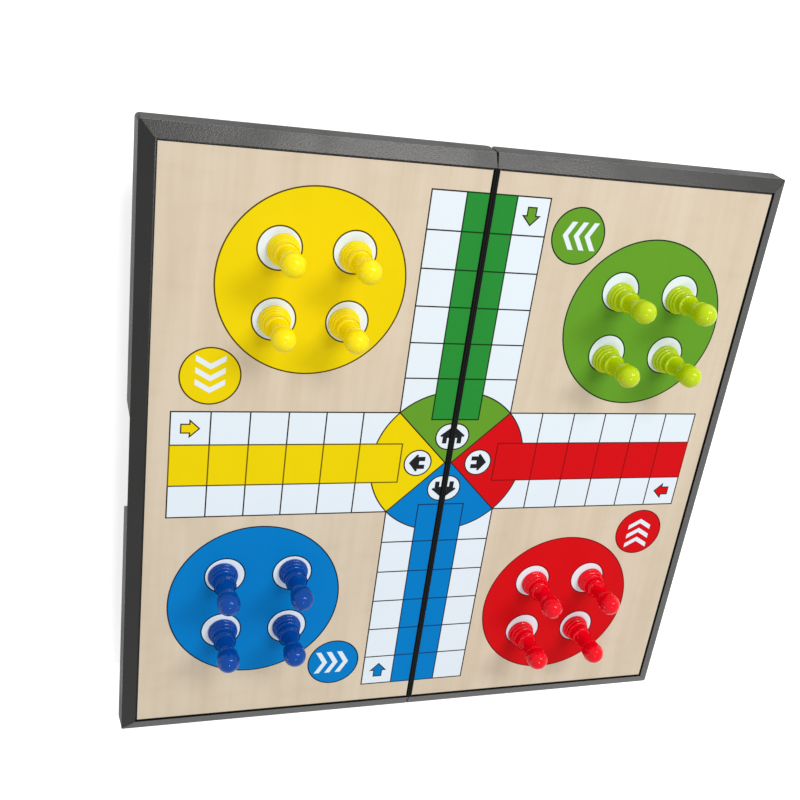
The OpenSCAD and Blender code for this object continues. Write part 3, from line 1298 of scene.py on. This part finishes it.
@dataclass
class Pawns:
    """The sixteen loose pawns and their magnets.

    Attributes:
        palette: Materials of the object.
        shape: Sizes of a pawn.
    """

    palette: Palette
    shape: PawnShape = field(default_factory=PawnShape)

    def _turned(self, name: str, centre: Vector) -> Mesh:
        """Turn a pawn's outline about its axis.

        Args:
            name: Name of the mesh.
            centre: Middle of its foot in metres.

        Returns:
            The closed mesh.
        """
        mesh = bpy.data.meshes.new(name)
        work = bmesh.new()
        count = self.shape.turns
        turns = [2 * math.pi * i / count for i in range(count)]
        rings = []
        for r, z in self.shape.outline():
            places = [(centre.x + r * MM * math.cos(a), centre.y + r * MM * math.sin(a)) for a in turns]
            rings.append([work.verts.new((x, y, centre.z + z * MM)) for x, y in (places if r else places[:1])])
        for low, high in zip(rings, rings[1:]):
            for i in range(count):
                j = (i + 1) % count
                corners = [low[i % len(low)], low[j % len(low)], high[j % len(high)], high[i % len(high)]]
                work.faces.new(list(dict.fromkeys(corners)))
        bmesh.ops.recalc_face_normals(work, faces=work.faces)
        work.to_mesh(mesh)
        work.free()
        return mesh

    def _pawn(self, team: Team, number: int) -> list[Object]:
        """Build one pawn on its foot's place and dress its magnet.

        Args:
            team: Colour of the pawn.
            number: Its number, from 1 to 4.

        Returns:
            The pawn and its magnet.
        """
        node = f"{team.word}_pawn_{number}"
        body = f"{node}_body"
        low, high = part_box(node)
        centre = Vector(((low.x + high.x) / 2, (low.y + high.y) / 2, low.z))
        mesh = self._turned(f"{node}_piece", centre)
        mesh.materials.append(self.palette[f"pawn_{team.word}"])
        piece = new_object(f"{node}_piece", mesh)
        smooth(mesh, 40.0)
        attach(piece, body)
        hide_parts(node)
        magnet = SolidCopy(f"{team.word}_pawn_magnet_{number}", body, self.palette["magnet_nickel"], "magnet")
        return [piece, magnet.build()]

    def build(self) -> list[Object]:
        """Build every pawn."""
        return [piece for team in Team for number in range(1, 5) for piece in self._pawn(team, number)]


# ---- Box ----


@dataclass
class BoxHalf:
    """One half of the box with what is fixed in it.

    Attributes:
        side: Left or right.
        palette: Materials of the object.
        seam_half: Half the width of the band along the seam that is painted near black as shade, in millimetres.
        seam_low: Height from which that band is painted dark.
        wall_top: Height up to which the outer walls are smooth.
    """

    side: str
    palette: Palette
    seam_half: float = 1.34
    seam_low: float = 6.0
    wall_top: float = 7.3

    def _zone(self, face: BMFace) -> int:
        """Tell the smooth outer walls (1) and the seam's band of painted shade (2) from the grained rest (0).

        Args:
            face: Face of the moulding.

        Returns:
            The number of the face's material.
        """
        middle = face.calc_center_median()
        # Painted shade: faces along the seam and above the low height get the near-black seam material.
        if abs(middle.x) < self.seam_half * MM and middle.z > self.seam_low * MM:
            return 2
        outward = face.normal.x * middle.x + face.normal.y * middle.y > 0.05
        return int(outward and abs(face.normal.z) < 0.5 and middle.z < self.wall_top * MM)

    def build(self, artwork: Artwork) -> list[Object]:
        """Build the half's pieces.

        Args:
            artwork: The whole track, for the printed sheet.

        Returns:
            The finished pieces.
        """
        body = f"{self.side}_half"
        others = (self.palette["wall_plastic"], self.palette["seam_plastic"])
        dark = {"material": self.palette["tray_plastic"], "others": others, "choose": self._zone}
        made = [SolidCopy(f"{self.side}_tray", body, slot="tray_plastic", edge=0.14, **dark).build()]
        for name, material, slot, edge in (
            ("steel_plate", "plate_steel", "plate_steel", 0.05),
            ("hinge_pins", "pin_steel", "pin_steel", 0.12),
            ("closing_magnets", "magnet_nickel", "magnet", 0.2),
        ):
            made.append(SolidCopy(f"{self.side}_{name}", body, self.palette[material], slot, edge).build())
        made.append(PrintedSheet(self.side, self.palette).build(artwork))
        return made


@dataclass
class HingeLinks:
    """The two links that join the halves.

    Attributes:
        palette: Materials of the object.
    """

    palette: Palette

    def build(self) -> list[Object]:
        """Build both links."""
        links = [f"{end}_hinge_link" for end in ("front", "rear")]
        return [SolidCopy(n, "hinge_links", self.palette["link_plastic"], "link_plastic").build() for n in links]


# ---- Stage ----


@dataclass(frozen=True)
class Lamp:
    """A rectangular soft lamp that faces the middle of the board.

    Attributes:
        name: Name of the lamp.
        place: Position in metres.
        size: Width and height in metres.
        watts: Power.
        colour: Colour of the light.
    """

    name: str
    place: Triple
    size: Point
    watts: float
    colour: Triple = (1.0, 1.0, 1.0)

    def build(self) -> Object:
        """Hang the lamp.

        Returns:
            The lamp's object.
        """
        data = bpy.data.lights.new(self.name, "AREA")
        data.shape = "RECTANGLE"
        data.size, data.size_y = self.size
        data.energy = self.watts
        data.color = self.colour
        made = new_object(self.name, data)
        made.location = self.place
        made.rotation_euler = (-Vector(self.place)).to_track_quat("-Z", "Y").to_euler()
        return made


@dataclass(frozen=True)
class Studio:
    """Pale floor, soft light and the camera.

    Attributes:
        camera_at: Camera's position in millimetres.
        right: Direction of the picture's right.
        down: Direction of the picture's bottom.
        forward: Direction in which the camera looks.
        lens: Focal length in millimetres.
        sensor: Width of the sensor in millimetres.
        floor_half: Half of the floor's width in metres.
        lamps: The lamps.
        world: Strength of the even light from all round.
        paper: Colour of the floor.
        glow: Strength that makes the lit floor white behind the object.
    """

    camera_at: Triple = (-139.03, 168.50, 334.61)
    right: Triple = (0.951115, 0.131319, 0.279527)
    down: Triple = (0.008534, -0.915927, 0.401254)
    forward: Triple = (0.308719, -0.379253, -0.872273)
    lens: float = 43.489
    sensor: float = 36.0
    floor_half: float = 6.0
    lamps: tuple[Lamp, ...] = (
        Lamp("key_lamp", (0.42, 0.90, 0.98), (0.8, 0.28), 11.4, (1.0, 0.99, 0.97)),
        Lamp("top_lamp", (-0.05, -0.12, 1.2), (0.14, 0.14), 2.4),
        Lamp("side_lamp", (-0.85, -0.40, 0.12), (0.4, 0.12), 0.5, (0.96, 0.98, 1.0)),
    )
    world: float = 0.48
    paper: Colour = (0.93, 0.93, 0.93, 1.0)
    glow: float = 0.6

    @staticmethod
    def _seen(graph: Graph) -> NodeSocket:
        """Tell the rays that see the white background.

        Args:
            graph: Graph of the floor or the world.

        Returns:
            1 for the camera's rays, reflections and clear parts.
        """
        path = graph.add("ShaderNodeLightPath").outputs
        either = graph.math("MAXIMUM", path["Is Camera Ray"], path["Is Glossy Ray"])
        return graph.math("MAXIMUM", either, path["Is Transmission Ray"])

    def _floor(self) -> Object:
        """Lay the floor, low enough for the half that folds under, and clear from below.

        Returns:
            The floor's object.
        """
        mesh = bpy.data.meshes.new("floor")
        work = bmesh.new()
        bmesh.ops.create_grid(work, x_segments=1, y_segments=1, size=self.floor_half)
        work.to_mesh(mesh)
        work.free()
        material = bpy.data.materials.new("floor_paper")
        graph = emptied(material)
        paper = graph.add("ShaderNodeBsdfDiffuse", {"Color": self.paper})
        glow = graph.add("ShaderNodeEmission", {"Color": WHITE, "Strength": self.glow})
        seen = graph.add("ShaderNodeMixShader", {0: self._seen(graph), 2: glow.outputs[0]})
        both = graph.add("ShaderNodeAddShader", {0: paper.outputs[0], 1: seen.outputs[0]})
        clear = graph.add("ShaderNodeBsdfTransparent")
        below = graph.add("ShaderNodeNewGeometry").outputs["Backfacing"]
        sided = graph.add("ShaderNodeMixShader", {0: below, 1: both.outputs[0], 2: clear.outputs[0]})
        graph.add("ShaderNodeOutputMaterial", {"Surface": sided.outputs[0]})
        mesh.materials.append(material)
        made = new_object("floor", mesh)
        made.location.z = -CAD_BOX[1].z - MM
        return made

    def _world(self) -> None:
        """Light the scene evenly, with a white background for the camera and for reflections."""
        world = bpy.data.worlds.new("studio")
        bpy.context.scene.world = world
        graph = emptied(world)
        even, white = (
            graph.add("ShaderNodeBackground", {"Color": WHITE, "Strength": strength}).outputs[0]
            for strength in (self.world, 1.0)
        )
        seen = graph.add("ShaderNodeMixShader", {0: self._seen(graph), 1: even, 2: white})
        graph.add("ShaderNodeOutputWorld", {"Surface": seen.outputs[0]})

    def _camera(self) -> None:
        """Place the camera where the picture was taken from."""
        data = bpy.data.cameras.new("camera")
        data.sensor_width = self.sensor
        data.lens = self.lens
        data.clip_start, data.clip_end = 0.01, 20.0
        made = new_object("camera", data)
        x, y, z = Vector(self.right), -Vector(self.down), -Vector(self.forward)
        turn = Matrix((x, y, z)).transposed().to_4x4()
        made.matrix_world = Matrix.Translation(Vector(self.camera_at) * MM) @ turn
        bpy.context.scene.camera = made

    def build(self) -> None:
        """Set up the floor, the world, the lamps and the camera."""
        self._floor()
        self._world()
        for lamp in self.lamps:
            lamp.build()
        self._camera()
        bpy.context.scene.view_settings.view_transform = "Standard"


def main() -> None:
    """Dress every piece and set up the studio."""
    logging.basicConfig(level=logging.INFO, format="%(message)s")
    Studio().build()
    palette = Palette()
    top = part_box("left_printed_sheet")[1].z / MM
    artwork = Artwork(palette, top - INK_ROOM, TrackSizes())
    made = []
    for side in SIDES:
        made += BoxHalf(side, palette).build(artwork)
    made += HingeLinks(palette).build()
    made += Pawns(palette).build()


if __name__ == "__main__":
    main()
